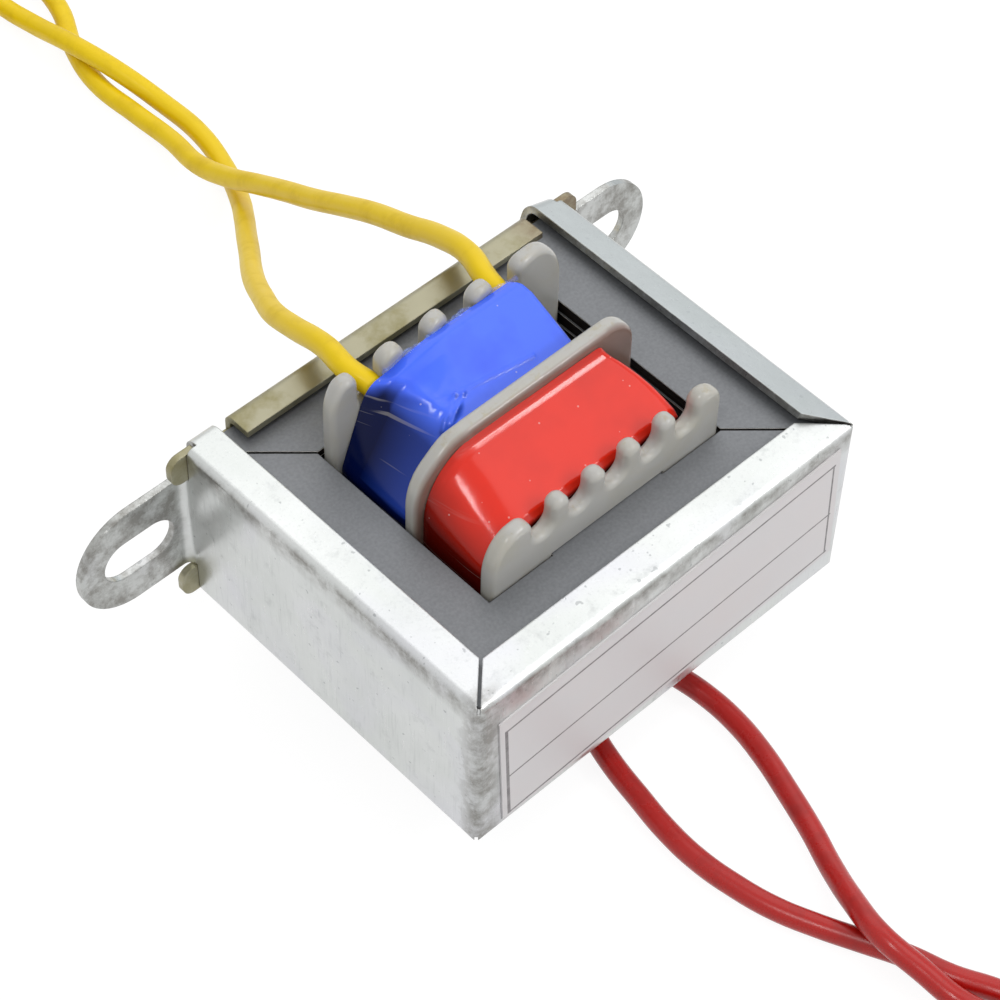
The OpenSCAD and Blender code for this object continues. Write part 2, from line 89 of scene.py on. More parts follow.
class BobbinSizes(bpy.types.PropertyGroup):
    """Sizes of the moulded bobbin"""
    flange: length("Flange", 1.1, "Thickness of each flange")
    edge: length("Edge", 0.4, "Radius of the moulded edges")
    front_h: length("Front comb", 4.05, "Height of the front comb above the core")
    back_h: length("Back comb", 5.8, "Height of the back comb above the core")
    middle_h: length("Middle flange", 5.65, "Height of the middle flange above the core")
    foot_h: length("Feet", 5.35, "Depth of the flanges below the core")
    front_floor: length("Front floors", 2.1, "Height of the front notch floors above the core")
    lead_floor: length("Lead floors", 3.1, "Height of the other notch floors off the core")
    front_notch: length("Front notch", 1.5, "Width of a front notch")
    back_notch: length("Back notch", 1.65, "Width of a back notch")
    front_pitch: length("Front pitch", 2.72, "Spacing of the front notches")
    back_pitch: length("Back pitch", 3.4, "Spacing of the back notches")
    front_off: length("Front offset", 0.53, "Sideways offset of the front notches")
    back_off: length("Back offset", -0.8, "Sideways offset of the back notches")
    post_r: length("Foot radius", 1.35, "Corner radius of the outermost feet")
    front_left: radii("Front left post", 2.0, 2.9, "Radii of the front comb's left post, across and up")
    back_left: radii("Back left post", 1.9, 2.4, "Radii of the back comb's left post, across and up")
    front_right: radii("Front right post", 1.4, 1.5, "Radii of the front comb's right post, across and up")
    back_right: radii("Back right post", 2.0, 3.4, "Radii of the back comb's right post, across and up")
    tooth_r: length("Tooth radius", 0.8, "Corner radius of the inner teeth")
    middle_left: length("Middle left", 4.2, "Left corner radius of the middle flange")
    middle_right: length("Middle right", 2.3, "Right corner radius of the middle flange")
    middle_short: length("Middle stop", 0.9, "How far the middle flange stops short on its right side")
    bore_w: length("Bore width", 8.6, "Width of the tube's bore")
    bore_h: length("Bore height", 12.2, "Height of the tube's bore")
    wall: length("Tube wall", 0.6, "Wall of the tube")
    lean: length("Lean", 0.16, "How far the teeth stand out of line")


class TapeSizes(bpy.types.PropertyGroup):
    """Sizes of the film tape wraps"""
    red_r: length("Red corner", 3.8, "Left corner radius of the red wrap")
    blue_r: length("Blue corner", 1.2, "Left corner radius of the blue wrap")
    right_r: length("Right corner", 0.7, "Corner radius on the slack side of the windings")
    fade: length("Fade", 4.5, "Depth over which the rise and fall of a wrap's top fades out on its sides")
    slant_z: length("Slant foot", 16.5, "Height above which the blue wrap's left side leans in")
    build: length("Film build", 0.25, "Thickness of the film over the wires")
    crown: length("Crown", 0.12, "How far a wrap falls off towards its edges on the sides")
    wrinkle: length("Wrinkle", 0.03, "Height of the soft wrinkles")
    crumple: length("Crumple", 0.15, "Height of the crumpled patch of the blue tape")
    film: length("Film", 0.6, "How far the loose film edge climbs over the lead notches")


class LeadSizes(bpy.types.PropertyGroup):
    """Sizes of the flying leads"""
    diameter: length("Diameter", 1.4, "Diameter over the insulation")
    coil_r: length("Coil radius", 8.0, "Radius of a lead coil at the middle of its turns")
    tie: length("Tie", 0.31, "Height at which the tie carries the coil")


class Colours(bpy.types.PropertyGroup):
    """Colours of the finishes"""
    zinc: colour("Zinc", "#cfd1d0", "Bright zinc plating")
    strip: colour("Strip", "#9a9680", "Tarnished plating of the closing strip")
    plate: colour("Core plate", "#7a7c7f", "Coating of the core plates")
    nylon: colour("Nylon", "#abaaa6", "Moulded bobbin")
    red_tape: colour("Red tape", "#d9240c", "Film tape of the primary")
    blue_tape: colour("Blue tape", "#4169f2", "Film tape of the secondary")
    paper: colour("Label", "#c6c4c5", "Label paper")
    rule: colour("Rules", "#575254", "Printed rules of the label")
    yellow: colour("Yellow lead", "#e0bf00", "Insulation of the secondary leads")
    red: colour("Red lead", "#a8120c", "Insulation of the primary leads")
    copper: colour("Copper", "#a5562c", "Enamelled wire")
    tie: colour("Tie", "#2b2b2c", "Ties of the lead coils")
    tin: colour("Tin", "#c9cac8", "Tinned ends")


class CameraPlace(bpy.types.PropertyGroup):
    """Place of the camera"""
    aim: FloatVectorProperty(name="Aim", description="Point that the camera looks at",
                             default=(1.617 * MM, 2.99 * MM, 7.634 * MM), subtype="XYZ_LENGTH")
    distance: length("Distance", 175.66, "Distance from the aim")
    azimuth: angle("Azimuth", -44.43, "Angle round the part from its labelled wall")
    elevation: angle("Elevation", 51.62, "Angle above the floor")
    roll: angle("Roll", 1.55, "Turn of the picture")
    lens: FloatProperty(name="Lens", description="Focal length in millimetres on a 36 mm sensor", default=106.78)


class TransformerSettings(bpy.types.PropertyGroup):
    """All settings of the transformer"""
    bobbin: PointerProperty(type=BobbinSizes)
    tape: PointerProperty(type=TapeSizes)
    lead: PointerProperty(type=LeadSizes)
    colours: PointerProperty(type=Colours)
    camera: PointerProperty(type=CameraPlace)


def settings():
    """The settings of this scene."""
    return bpy.context.scene.transformer


def node_adder(owner):
    """Clears the node tree of a material or a world, and gives the function that adds its nodes."""
    owner.use_nodes = True
    tree = owner.node_tree
    tree.nodes.clear()

    def add(kind, sockets=None, **attributes):
        """Adds a node with its settings; a socket takes a value, a hex colour, an output, or a node's first in use."""
        made = tree.nodes.new("ShaderNode" + kind)
        for name, value in attributes.items():
            setattr(made, name, value)
        for name, value in (sockets or {}).items():
            if isinstance(value, bpy.types.Node):
                value = next(output for output in value.outputs if output.enabled)
            if isinstance(value, bpy.types.NodeSocket):
                tree.links.new(value, made.inputs[name])
            else:
                made.inputs[name].default_value = linear(value) if isinstance(value, str) else value
        return made

    return add


def new_material(name):
    """An empty material, the function that adds its nodes, and its object coordinates."""
    made = bpy.data.materials.new(name)
    add = node_adder(made)
    return made, add, add("TexCoord").outputs["Object"]


def finished(made, add, sockets):
    """A material whose shader takes these values and nodes."""
    add("OutputMaterial", {"Surface": add("BsdfPrincipled", sockets)})
    return made


def patched(add, pattern, ground, other, low, high, most=1.0):
    """A colour with another over it in patches, where a pattern climbs from low to high."""
    share = add("MapRange", {"Value": pattern, "From Min": low, "From Max": high, "To Max": most})
    return add("Mix", {0: share, 6: ground, 7: other}, data_type="RGBA")


def stained(add, first, second, ground, other):
    """A colour with another over it where two masks meet."""
    both = add("Math", {0: first, 1: second}, operation="MULTIPLY")
    return add("Mix", {0: both, 6: ground, 7: other}, data_type="RGBA")


# Scales of the patterns below are counts per metre: 1000 draws features of about a millimetre


def zinc_plated_sheet(base):
    """Zinc-plated steel sheet, rolled and folded: bright, cloudy, rubbed dark at the folds, with painted shade on the
    ears and on the sprung lip.
    """
    made, add, place = new_material("zinc_plated_sheet")
    cloud = add("TexNoise", {"Vector": place, "Scale": 160.0, "Detail": 4.0, "Roughness": 0.6})
    # Rolling marks: long across the strip, about 0.15 mm wide
    stretch = add("Mapping", {"Vector": place, "Scale": (6500.0, 6500.0, 500.0)})
    marks = add("TexNoise", {"Vector": stretch, "Scale": 1.0, "Detail": 3.0})
    smudge = add("TexNoise", {"Vector": place, "Scale": 700.0, "Detail": 7.0, "Roughness": 0.72})
    dirt = add("MapRange", {"Value": smudge, "From Min": 0.56, "From Max": 0.76, "To Max": 0.32})
    tone = patched(add, cloud, base, "#c5c8c6", 0.35, 0.65)
    # Passivation: faint mauve and blue tints in patches of about 8 mm
    film = add("TexNoise", {"Vector": place, "Scale": 120.0, "Detail": 2.0, "Distortion": 1.0})
    passive = patched(add, film, tone, "#c9c8d1", 0.5, 0.7, 0.45)
    # Pits: single dark specks of about 0.1 mm
    specks = add("TexNoise", {"Vector": place, "Scale": 2400.0, "Detail": 1.0})
    pit = add("MapRange", {"Value": specks, "From Min": 0.72, "From Max": 0.76, "To Max": 0.45})
    spoilt = add("Math", {0: dirt, 1: pit}, operation="MAXIMUM")
    worn = add("Mix", {0: spoilt, 6: passive, 7: "#73777a"}, data_type="RGBA")
    # Rubbed bands on the walls just below the folds and on the left front corner; the ears are darkened with painted
    # shade
    facing = add("SeparateXYZ", {0: add("NewGeometry").outputs["True Normal"]}).outputs
    level = add("Math", {0: facing["Z"]}, operation="ABSOLUTE")
    wall = add("MapRange", {"Value": level, "From Min": 0.8, "From Max": 0.2})
    spot = add("SeparateXYZ", {0: place}).outputs
    under = add("MapRange", {"Value": spot["Z"], "From Min": 15.8 * MM, "From Max": 17.1 * MM})
    fold = add("Math", {0: under, 1: wall}, operation="MULTIPLY")
    ragged = add("Math", {0: smudge, 1: 4.0 * MM, 2: spot["Y"]}, operation="MULTIPLY_ADD")
    front = add("MapRange", {"Value": ragged, "From Min": -8.9 * MM, "From Max": -9.6 * MM})
    left = add("MapRange", {"Value": spot["X"], "From Min": -12.2 * MM, "From Max": -13.6 * MM})
    corner = add("Math", {0: front, 1: left}, operation="MULTIPLY")
    side = add("Math", {0: spot["X"]}, operation="ABSOLUTE")
    # Painted shade: the whole ear is darkened
    ear_shade = add("MapRange", {"Value": side, "From Min": 14.6 * MM, "From Max": 15.3 * MM})
    bands = add("Math", {0: fold, 1: corner}, operation="MAXIMUM")
    rubbed_and_shaded = add("Math", {0: bands, 1: ear_shade}, operation="MAXIMUM")
    uneven = add("MapRange", {"Value": smudge, "From Min": 0.4, "From Max": 0.6, "To Min": 0.25, "To Max": 0.9})
    # The darker colour is rubbed dirt on the bands and painted shade on the ears, in uneven patches
    worn_and_shaded = stained(add, rubbed_and_shaded, uneven, worn, "#7f7d78")
    # The sprung lip is darker and bluish: painted shade on its tilted top
    lean = add("MapRange", {"Value": facing["X"], "From Min": 0.2, "From Max": 0.28, "To Max": 0.75})
    flat = add("MapRange", {"Value": facing["Z"], "From Min": 0.8, "From Max": 0.9})
    # Painted shade on the sprung lip's tilted top
    lip_shade = stained(add, lean, flat, worn_and_shaded, "#a6adaf")
    scored = patched(add, marks, lip_shade, "#83888a", 0.6, 0.72, 0.14)
    gloss = add("MapRange", {"Value": marks, "From Min": 0.3, "From Max": 0.7, "To Min": 0.27, "To Max": 0.37})
    # Sheared and folded edges are a little round, so they catch the light
    edge = add("Bevel", {"Radius": 0.12 * MM}, samples=4)
    relief = add("Bump", {"Height": marks, "Strength": 0.15, "Distance": 0.03 * MM, "Normal": edge})
    swell = add("Bump", {"Height": cloud, "Strength": 0.25, "Distance": 0.3 * MM, "Normal": relief})
    return finished(made, add, {"Base Color": scored, "Metallic": 0.94, "Roughness": gloss, "Normal": swell})


def tarnished_strip(base):
    """Plated steel strip that has lost its shine: olive clouds, and a little rust at the right-hand end."""
    made, add, place = new_material("tarnished_strip")
    cloud = add("TexNoise", {"Vector": place, "Scale": 330.0, "Detail": 5.0, "Roughness": 0.65})
    speck = add("TexNoise", {"Vector": place, "Scale": 2600.0, "Detail": 3.0})
    tone = patched(add, cloud, base, "#87815f", 0.48, 0.68)
    across = add("SeparateXYZ", {0: place}).outputs["X"]
    end = add("MapRange", {"Value": across, "From Min": 9.6 * MM, "From Max": 11.6 * MM})
    worn = stained(add, end, speck, tone, "#5c3b22")
    gloss = add("MapRange", {"Value": cloud, "From Min": 0.3, "From Max": 0.7, "To Min": 0.3, "To Max": 0.5})
    edge = add("Bevel", {"Radius": 0.12 * MM}, samples=4)
    relief = add("Bump", {"Height": speck, "Strength": 0.15, "Distance": 0.03 * MM, "Normal": edge})
    return finished(made, add, {"Base Color": worn, "Metallic": 0.85, "Roughness": gloss, "Normal": relief})


def coated_core_plate(base):
    """Electrical steel with a matt grey coating; its cut edges show a bright burr on each plate over painted shade."""
    made, add, place = new_material("coated_core_plate")
    grain = add("TexNoise", {"Vector": place, "Scale": 5200.0, "Detail": 2.0})
    cloud = add("TexNoise", {"Vector": place, "Scale": 120.0, "Detail": 3.0})
    tone = patched(add, grain, base, "#55585b", 0.3, 0.7, 0.3)
    facing = add("SeparateXYZ", {0: add("NewGeometry").outputs["True Normal"]}).outputs
    upright = add("Math", {0: facing["Z"]}, operation="ABSOLUTE")
    cut = add("Math", {0: upright, 1: 0.5}, operation="LESS_THAN")
    # Cut edges: a bright burr on every plate, counted down from the core's top, over a dark ground that is painted
    # shade of the narrow gaps
    plate_mm, core_top_mm = 0.5, 17.35
    up = add("SeparateXYZ", {0: place}).outputs["Z"]
    count = add("Math", {0: up, 1: 1 / (plate_mm * MM), 2: -core_top_mm / plate_mm}, operation="MULTIPLY_ADD")
    part = add("Math", {0: count}, operation="FRACT")
    bright = add("Math", {0: part, 1: 0.84}, operation="GREATER_THAN")
    # The dark colour is painted shade; the bright lines are the plates' edges
    burrs_in_painted_shade = add("Mix", {0: bright, 6: "#2f2724", 7: "#d6d4cf"}, data_type="RGBA")
    coat_and_shaded_cuts = add("Mix", {0: cut, 6: tone, 7: burrs_in_painted_shade}, data_type="RGBA")
    metal = add("MapRange", {"Value": cut, "To Min": 0.55, "To Max": 0.9})
    gloss = add("MapRange", {"Value": cloud, "From Min": 0.3, "From Max": 0.7, "To Min": 0.48, "To Max": 0.58})
    burr = add("Bevel", {"Radius": 0.08 * MM}, samples=4)
    relief = add("Bump", {"Height": grain, "Strength": 0.2, "Distance": 0.04 * MM, "Normal": burr})
    return finished(made, add, {"Base Color": coat_and_shaded_cuts, "Metallic": metal, "Roughness": gloss, "Normal": relief})


def moulded_nylon(base):
    """Injection-moulded nylon: waxy, a little translucent, with faint flow marks and yellowed patches."""
    made, add, place = new_material("moulded_nylon")
    flow = add("TexNoise", {"Vector": place, "Scale": 350.0, "Detail": 4.0, "Distortion": 0.6})
    tone = patched(add, flow, base, "#a9a594", 0.45, 0.75, 0.55)
    # Painted shade with a painted red reflection of the tape before it, on the front face of the translucent middle
    # flange
    along = add("SeparateXYZ", {0: place}).outputs["Y"]
    facing = add("SeparateXYZ", {0: add("NewGeometry").outputs["Normal"]}).outputs
    near = add("Math", {0: along, 1: -1.0 * MM, 2: 0.5 * MM}, operation="COMPARE")
    ahead = add("MapRange", {"Value": facing["Y"], "From Min": -0.2, "From Max": -0.9, "To Max": 0.8})
    # Painted shade and painted red reflection, near the flange's front face
    red_shade_and_bounce = stained(add, near, ahead, tone, "#6e4a3c")
    # Torn flash on the tops of the teeth
    crest = add("MapRange", {"Value": facing["Z"], "From Min": 0.7, "From Max": 0.95})
    torn = add("TexNoise", {"Vector": place, "Scale": 1300.0, "Detail": 4.0, "Roughness": 0.7})
    flash = add("MapRange", {"Value": torn, "From Min": 0.52, "From Max": 0.66, "To Max": 0.6})
    aged = stained(add, crest, flash, red_shade_and_bounce, "#a39b84")
    fine = add("TexNoise", {"Vector": place, "Scale": 1500.0, "Detail": 3.0})
    relief = add("Bump", {"Height": fine, "Strength": 0.12, "Distance": 0.06 * MM})
    return finished(made, add, {
        "Base Color": aged, "Roughness": 0.2, "IOR": 1.53, "Normal": relief, "Subsurface Weight": 0.35,
        "Subsurface Radius": (0.6 * MM, 0.5 * MM, 0.4 * MM), "Subsurface Scale": 1.0})


def film_tape(name, base, deep, flank_shade_colour, flank_from, flank_to):
    """Polyester film tape, wound tight: glossy film over coloured adhesive, with dust and faint wrinkles."""
    made, add, place = new_material(name)
    patch = add("TexNoise", {"Vector": place, "Scale": 260.0, "Detail": 3.0})
    tone = patched(add, patch, base, deep, 0.5, 0.8, 0.55)
    # The sides are painted darker and deeper in colour: painted shade
    facing = add("SeparateXYZ", {0: add("NewGeometry").outputs["Normal"]}).outputs
    level = add("Math", {0: facing["Z"]}, operation="ABSOLUTE")
    flank = add("MapRange", {"Value": level, "From Min": flank_from, "From Max": flank_to})
    shade = add("Mix", {0: flank, 6: tone, 7: flank_shade_colour}, data_type="RGBA")
    dust = add("TexVoronoi", {"Vector": place, "Scale": 900.0})
    mote = add("MapRange", {"Value": dust, "From Min": 0.06, "From Max": 0.04, "To Max": 0.35})
    # Edges of the film's turns: thin pale lines along the wrap, drawn 0.4 mm apart so that they show
    drawn = add("Mapping", {"Vector": place, "Scale": (300.0, 90.0, 2600.0)})
    turn = add("TexNoise", {"Vector": drawn, "Scale": 1.0, "Detail": 2.0})
    line = add("MapRange", {"Value": turn, "From Min": 0.64, "From Max": 0.7, "To Max": 0.22})
    edges = add("Math", {0: line, 1: flank}, operation="MULTIPLY")
    pale = add("Math", {0: mote, 1: edges}, operation="MAXIMUM")
    film = add("Mix", {0: pale, 6: shade, 7: "#d8d2cc"}, data_type="RGBA")
    wave = add("TexNoise", {"Vector": place, "Scale": 700.0, "Detail": 2.0, "Distortion": 1.0})
    relief = add("Bump", {"Height": wave, "Strength": 0.1, "Distance": 0.08 * MM})
    shine = add("MapRange", {"Value": flank, "To Min": 0.38, "To Max": 0.12})
    return finished(made, add, {
        "Base Color": film, "Roughness": 0.15, "IOR": 1.5, "Specular IOR Level": shine, "Normal": relief})


def loose_film(base):
    """Loose edge of the polyester film: clear, faintly tinted, with bright creases."""
    made, add, place = new_material("loose_polyester_film")
    fold = add("TexNoise", {"Vector": place, "Scale": 2200.0, "Detail": 3.0, "Distortion": 1.5})
    pale = add("MapRange", {"Value": fold, "From Min": 0.45, "From Max": 0.65})
    tone = add("Mix", {0: pale, 6: base, 7: "#86a6e6"}, data_type="RGBA")
    seen = add("MapRange", {"Value": pale, "To Min": 0.2, "To Max": 0.5})
    return finished(made, add, {"Base Color": tone, "Roughness": 0.1, "Alpha": seen})


def ruled_label_paper(base, rule):
    """Coated label paper, printed with the rules of an empty table and stuck on slightly askew."""
    made, add, place = new_material("ruled_label_paper")
    middle = [(a + b) / 2 for a, b in zip(*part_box("label"))]
    tilt = math.radians(2.8)
    square_on = add("VectorRotate", {"Vector": place, "Center": middle, "Angle": tilt}, rotation_type="Y_AXIS")
    shift = add("VectorMath", {0: square_on, 1: middle}, operation="SUBTRACT")
    split = add("SeparateXYZ", {0: shift}).outputs
    across, up = split["X"], split["Z"]
    # Rules of the table: distance from the middle of the label and half width, in millimetres
    uprights = ((-12.75, 0.13), (12.7, 0.07))
    levels = ((3.75, 0.08), (-0.85, 0.07), (-4.55, 0.08))
    ink = 0.0
    for value, places in ((across, uprights), (up, levels)):
        for at, half in places:
            line = add("Math", {0: value, 1: at * MM, 2: half * MM}, operation="COMPARE")
            ink = add("Math", {0: ink, 1: line}, operation="MAXIMUM")
    # The table ends at its outer rules
    wide = add("Math", {0: across, 1: 0.0, 2: 12.85 * MM}, operation="COMPARE")
    tall = add("Math", {0: up, 1: -0.4 * MM, 2: 4.25 * MM}, operation="COMPARE")
    inside = add("Math", {0: wide, 1: tall}, operation="MULTIPLY")
    worn = add("TexNoise", {"Vector": place, "Scale": 1800.0, "Detail": 3.0})
    faded = add("MapRange", {"Value": worn, "From Min": 0.3, "From Max": 0.7, "To Min": 0.95, "To Max": 0.7})
    kept = add("Math", {0: ink, 1: inside}, operation="MULTIPLY")
    cloud = add("TexNoise", {"Vector": place, "Scale": 200.0, "Detail": 4.0})
    paper = patched(add, cloud, base, "#c9c3c3", 0.45, 0.75, 0.6)
    printed = stained(add, kept, faded, paper, rule)
    return finished(made, add, {"Base Color": printed, "Roughness": 0.42})


def pvc_insulation(name, base, deep, rough, level):
    """Extruded soft PVC: even colour with a satin skin, handling marks and slight waviness."""
    made, add, place = new_material(name)
    rub = add("TexNoise", {"Vector": place, "Scale": 480.0, "Detail": 5.0, "Roughness": 0.65})
    tone = patched(add, rub, base, deep, 0.5, 0.75, 0.6)
    gloss = add("MapRange", {
        "Value": rub, "From Min": 0.3, "From Max": 0.7, "To Min": rough, "To Max": rough + 0.14})
    relief = add("Bump", {"Height": rub, "Strength": 0.2, "Distance": 0.08 * MM})
    return finished(made, add, {
        "Base Color": tone, "Roughness": gloss, "IOR": 1.53, "Specular IOR Level": level, "Normal": relief})


def enamelled_wire(base):
    """Enamelled copper wire wound in layers: glossy brown with a rib for each 0.2 mm wire."""
    made, add, place = new_material("enamelled_wire")
    ribs = add("TexWave", {"Vector": place, "Scale": 1570.0, "Distortion": 0.4}, bands_direction="Y")
    height = ribs.outputs["Fac"]
    # Darker in the grooves between the wires: painted shade
    tone = add("Mix", {0: height, 6: "#5a2a12", 7: base}, data_type="RGBA")
    relief = add("Bump", {"Height": height, "Strength": 0.6, "Distance": 0.1 * MM})
    return finished(made, add, {"Base Color": tone, "Metallic": 0.8, "Roughness": 0.3, "Normal": relief})


def tinned_strands(base):
    """Twisted strands dipped in solder: bright, lumpy tin."""
    made, add, place = new_material("tinned_strands")
    lump = add("TexNoise", {"Vector": place, "Scale": 1500.0, "Detail": 2.0})
    tone = add("Mix", {0: lump, 6: base, 7: "#9a9b99"}, data_type="RGBA")
    relief = add("Bump", {"Height": lump, "Strength": 0.5, "Distance": 0.1 * MM})
    return finished(made, add, {"Base Color": tone, "Metallic": 1.0, "Roughness": 0.25, "Normal": relief})


def moulded_tie(base):
    """Black moulded nylon strap with fine cross ribs."""
    made, add, place = new_material("moulded_tie")
    ribs = add("TexWave", {"Vector": place, "Scale": 700.0}, bands_direction="Z").outputs["Fac"]
    # Lighter on the ribs' crests and darker in their grooves: painted shade
    tone = add("Mix", {0: ribs, 6: base, 7: "#3a3a3b"}, data_type="RGBA")
    relief = add("Bump", {"Height": ribs, "Strength": 0.4, "Distance": 0.1 * MM})
    return finished(made, add, {"Base Color": tone, "Roughness": 0.45, "Normal": relief})


def finish_node(node, made):
    """Gives a CAD node's object a better material."""
    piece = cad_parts[node]
    piece.data.materials.clear()
    piece.data.materials.append(made)


def new_piece(name, data, made, slot, *nodes):
    """A new object that rides on the part, stands for its nodes and takes the given finish; its slot is not used."""
    piece = bpy.data.objects.new(name, data)
    bpy.context.scene.collection.objects.link(piece)
    data.materials.append(made)
    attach(piece, "root")
    if nodes:
        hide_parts(*nodes)
    return piece


def clamp(t):
    """A share held between zero and one."""
    return min(max(t, 0.0), 1.0)


def smooth(t):
    """Soft step from zero to one."""
    t = clamp(t)
    return t * t * (3 - 2 * t)


def ripple(*at):
    """Smooth noise at a place."""
    return noise.noise(Vector(at))


def value_at(profile, v):
    """Value of a profile of (place, value) pairs."""
    for (v0, a), (v1, b) in zip(profile, profile[1:]):
        if v <= v1:
            return a + (b - a) * (v - v0) / (v1 - v0)
    return profile[-1][1]


def arc(x, z, r, start, end, steps, rz=None):
    """Points on an arc, angles in degrees, both ends included; rz is its upright radius where that differs."""
    angles = [math.radians(start + (end - start) * i / steps) for i in range(steps + 1)]
    return [(x + r * math.cos(a), z + (rz or r) * math.sin(a)) for a in angles]


# Least radius of a tooth, and the shares of a tooth's or post's width that its radii may take up
LEAST_R, TOOTH_SHARE, POST_SHARE = 0.04 * MM, 0.48, 0.98
# Steps round a post's corner, a notch's floor and the plain flange's corner
POST_STEPS, NOTCH_STEPS, PLAIN_STEPS = 12, 10, 14


def comb_half(half_w, top, root, centres, notch, posts_r, tooth_r, inset):
    """Upper outline of a comb from its left to its right side, drawn in by the inset."""
    r = notch / 2 + inset
    top = top - inset
    walls = [-half_w + inset]
    for at in centres:
        walls += [at - r, at + r]
    walls.append(half_w - inset)
    points = [(walls[0], 0.0)]
    last = len(centres)
    for i, (left, right) in enumerate(zip(walls[::2], walls[1::2])):
        tooth = max(LEAST_R, min(tooth_r - inset, TOOTH_SHARE * (right - left)))
        ends = [(tooth, tooth), (tooth, tooth)]
        for end, post in enumerate((0, last)):
            if i == post:
                across, up = (radius - inset for radius in posts_r[end])
                ends[end] = (min(across, POST_SHARE * (right - left) - tooth), up)
        (left_r, left_up), (right_r, right_up) = ends
        points += arc(left + left_r, top - left_up, left_r, 180, 90, POST_STEPS, left_up)
        points += arc(right - right_r, top - right_up, right_r, 90, 0, POST_STEPS, right_up)
        if i < last:
            points += arc(centres[i], root, r, 180, 360, NOTCH_STEPS)
    points.append((walls[-1], 0.0))
    return points


def plain_half(half_w, short, top, left_r, right_r, inset):
    """Upper outline of the plain flange from its left to its right side, drawn in by the inset."""
    left, right = inset - half_w, half_w - short - inset
    r, q = left_r - inset, right_r - inset
    top = top - inset
    return ([(left, 0.0)] + arc(left + r, top - r, r, 180, 90, PLAIN_STEPS)
            + arc(right - q, top - q, q, 90, 0, PLAIN_STEPS) + [(right, 0.0)])


def below(points):
    """The lower half of an outline, from a half that is drawn upwards."""
    return [(x, -z) for x, z in reversed(points)][1:-1]


def loop_of(bm, points, y, mid_z):
    """A closed ring of vertices from X-Z points."""
    return [bm.verts.new((x, y, mid_z + z)) for x, z in points]


def bridge(bm, first, second):
    """Faces between two rings of equal count."""
    count = len(first)
    for i in range(count):
        j = (i + 1) % count
        bm.faces.new((first[i], first[j], second[j], second[i]))


def cap(bm, outer, inner):
    """Fills the face between an outer ring and the bore's ring."""
    edges = []
    for ring in (outer, inner):
        for i in range(len(ring)):
            pair = (ring[i], ring[(i + 1) % len(ring)])
            edges.append(bm.edges.get(pair) or bm.edges.new(pair))
    bmesh.ops.triangle_fill(bm, use_beauty=True, edges=edges)


def add_flange(bm, outline, y, thick, edge, bore, mid_z):
    """One flange with fully rounded edges, lofted from insets of its outline, with the bore left open."""
    steps = 5
    rings = []
    for side in (0, 1):
        for i in range(steps + 1):
            a = math.radians(90 * (i if side == 0 else steps - i) / steps)
            inset = edge * (1 - math.sin(a))
            depth = edge * (1 - math.cos(a))
            at = y + depth if side == 0 else y + thick - depth
            rings.append(loop_of(bm, outline(inset), at, mid_z))
    for first, second in zip(rings, rings[1:]):
        bridge(bm, first, second)
    near, far = (loop_of(bm, bore, at, mid_z) for at in (y, y + thick))
    bridge(bm, far, near)
    cap(bm, rings[0], near)
    cap(bm, rings[-1], far)


def closed_mesh(bm, name):
    """A smooth-shaded mesh from bmesh, with its normals turned out."""
    bmesh.ops.recalc_face_normals(bm, faces=bm.faces)
    mesh = bpy.data.meshes.new(name)
    for face in bm.faces:
        face.smooth = True
    bm.to_mesh(mesh)
    bm.free()
    mesh.set_sharp_from_angle(angle=SHARP_ANGLE)
    return mesh


class TRANSFORMER_OT_sheet_metal(bpy.types.Operator):
    """Finish the folded mounting frame and the closing strip"""
    bl_idname = "transformer.sheet_metal"
    bl_label = "Sheet metal"

    def execute(self, context):
        colours = settings().colours
        finish_node("mounting_frame", zinc_plated_sheet(colours.zinc))
        finish_node("closing_strip", tarnished_strip(colours.strip))
        return {"FINISHED"}


class TRANSFORMER_OT_core(bpy.types.Operator):
    """Finish the core plates"""
    bl_idname = "transformer.core"
    bl_label = "Core"

    def execute(self, context):
        plate = coated_core_plate(settings().colours.plate)
        for node in ("back_plates_odd", "front_plates_odd", "back_plates_even", "front_plates_even"):
            finish_node(node, plate)
        return {"FINISHED"}


FRONT_NOTCHES, BACK_NOTCHES = 5, 4
# Play between the red wrap and the middle flange, and the height over which the teeth come to their full lean
PLAY, LEAN_HEIGHT = 0.05 * MM, 2 * MM


